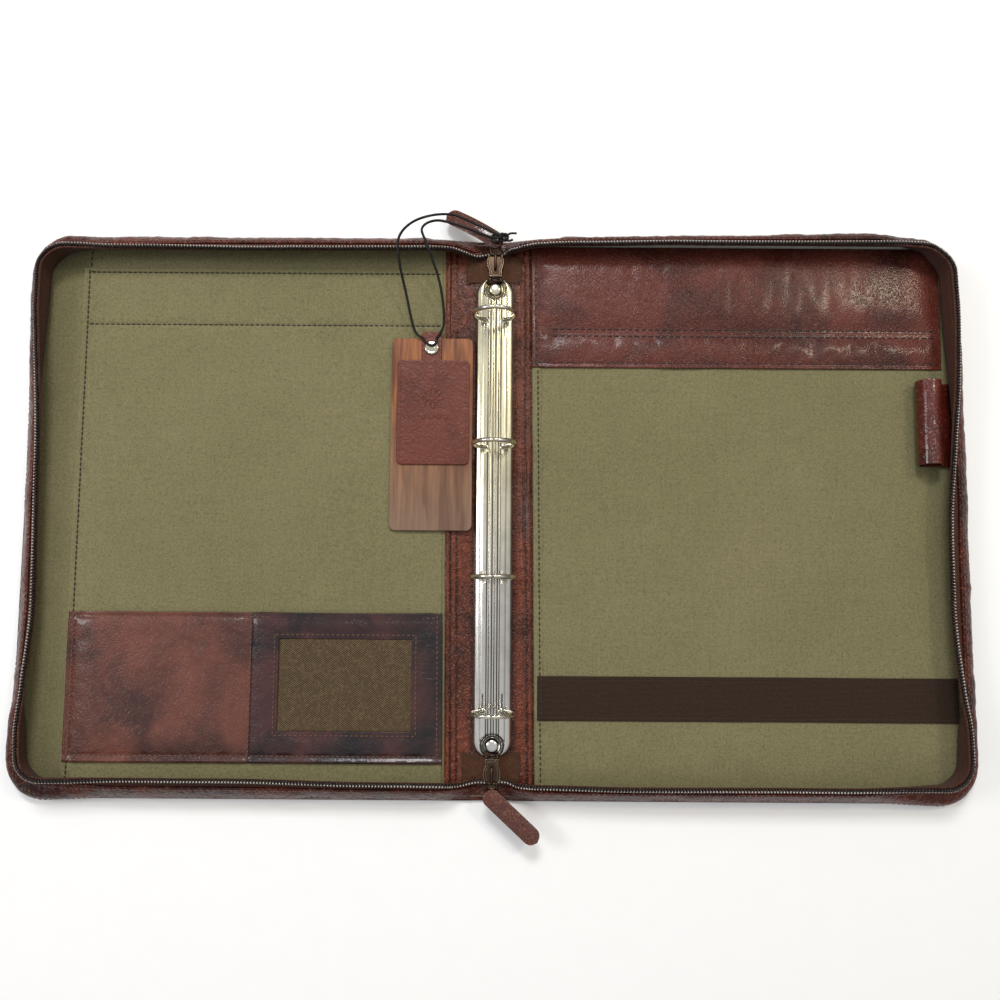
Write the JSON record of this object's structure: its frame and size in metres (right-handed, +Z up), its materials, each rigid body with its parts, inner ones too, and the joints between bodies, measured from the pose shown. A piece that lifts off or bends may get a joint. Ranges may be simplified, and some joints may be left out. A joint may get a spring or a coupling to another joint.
{
  "type": "portfolio case",
  "caption": "Zip-around leather portfolio case that folds out flat, with a ring mechanism on the spine, document and card pockets, an elastic pad strap and a pen loop.",
  "frame": {"origin": "centre of the spine on the underside of the outer leather, case lying open and flat", "axes": "+X towards the right-hand cover, +Y towards the top edge, +Z up out of the open case"},
  "size_m": [0.582, 0.3916, 0.036],
  "materials": {
    "leather": "semi-gloss antique leather",
    "inner_leather": "semi-gloss antique leather",
    "canvas": "matte canvas",
    "twill": "matte twill",
    "elastic": "matte ribbed elastic",
    "window": "matte twill",
    "board": "raw greyboard",
    "padding": "soft felt",
    "chrome": "polished nickel",
    "steel": "plain steel",
    "slider_metal": "antique finish",
    "coil": "smooth nylon",
    "tag_card": "printed card",
    "cord": "smooth elastic cord"
  },
  "bodies": {
    "spine": {"spine_outer_leather": "leather", "spine_board": "board", "spine_inner_leather": "inner_leather", "spine_end_gussets": "leather", "ring_housing": "chrome", "housing_rivets": "chrome", "rivet_burrs": "steel", "top_tail_tape": "twill", "bottom_tail_tape": "twill", "top_tail_coil": "coil", "bottom_tail_coil": "coil"},
    "left_ring_set": {"left_blade": "steel", "left_half_rings": "chrome"},
    "right_ring_set": {"right_blade": "steel", "right_half_rings": "chrome"},
    "left_cover": {"left_outer_leather": "leather", "left_board": "board", "left_padding": "padding", "left_lining": "canvas", "left_gusset": "leather", "left_wall_lining": "canvas", "left_zip_tape": "twill", "left_zip_coil": "coil", "page_pocket_back": "canvas", "page_pocket_front": "canvas", "card_pocket": "leather", "window_fabric": "window"},
    "right_cover": {"right_outer_leather": "leather", "right_board": "board", "right_padding": "padding", "right_lining": "canvas", "right_gusset": "leather", "right_wall_lining": "canvas", "right_zip_tape": "twill", "right_zip_coil": "coil", "pad_panel": "leather", "elastic_strap": "elastic", "pen_loop": "leather"},
    "top_slider": {"top_slider": "slider_metal"},
    "top_link": {"top_pull_link": "slider_metal"},
    "top_tab": {"top_pull_tab": "leather", "cord_knot": "cord"},
    "bottom_slider": {"bottom_slider": "slider_metal"},
    "bottom_link": {"bottom_pull_link": "slider_metal"},
    "bottom_tab": {"bottom_pull_tab": "leather"},
    "swing_tag": {"tag_card": "tag_card", "tag_patch": "leather", "tag_rivet": "chrome", "tag_cord": "cord"}
  },
  "joints": [
    {"name": "left_cover_fold", "type": "hinge", "parent": "spine", "child": "left_cover", "pos_m": [-0.025, 0, 0.0018], "axis": [0, 1, 0], "range_deg": [0, 90]},
    {"name": "right_cover_fold", "type": "hinge", "parent": "spine", "child": "right_cover", "pos_m": [0.025, 0, 0.0018], "axis": [0, -1, 0], "range_deg": [0, 90]},
    {"name": "left_rings_open", "type": "hinge", "parent": "spine", "child": "left_ring_set", "pos_m": [-0.0096, 0, 0.0078], "axis": [0, -1, 0], "range_deg": [0, 11]},
    {"name": "right_rings_open", "type": "hinge", "parent": "spine", "child": "right_ring_set", "pos_m": [0.0096, 0, 0.0078], "axis": [0, 1, 0], "range_deg": [0, 11]},
    {"name": "top_slider_travel", "type": "slide", "parent": "spine", "child": "top_slider", "axis": [0, 1, 0], "range_m": [0, 0.006]},
    {"name": "top_pull_lift", "type": "hinge", "parent": "top_slider", "child": "top_link", "pos_m": [0, 0.1619, 0.0112], "axis": [1, 0, 0], "range_deg": [0, 25]},
    {"name": "top_tab_swivel", "type": "hinge", "parent": "top_link", "child": "top_tab", "pos_m": [0, 0.17, 0.0128], "axis": [0, 0, -1], "range_deg": [0, 70]},
    {"name": "bottom_slider_travel", "type": "slide", "parent": "spine", "child": "bottom_slider", "axis": [0, -1, 0], "range_m": [0, 0.006]},
    {"name": "bottom_pull_lift", "type": "hinge", "parent": "bottom_slider", "child": "bottom_link", "pos_m": [0, -0.1619, 0.0112], "axis": [-1, 0, 0], "range_deg": [0, 25]},
    {"name": "bottom_tab_swivel", "type": "hinge", "parent": "bottom_link", "child": "bottom_tab", "pos_m": [0, -0.17, 0.0128], "axis": [0, 0, -1], "range_deg": [0, 70]},
    {"name": "tag_fold", "type": "hinge", "parent": "spine", "child": "swing_tag", "pos_m": [-0.0166, 0, 0.011], "axis": [0, 1, 0], "range_deg": [0, 90]}
  ],
  "couplings": [
    {"joint": "right_rings_open", "follows": "left_rings_open", "ratio": 1},
    {"joint": "tag_fold", "follows": "left_cover_fold", "ratio": 1}
  ]
}
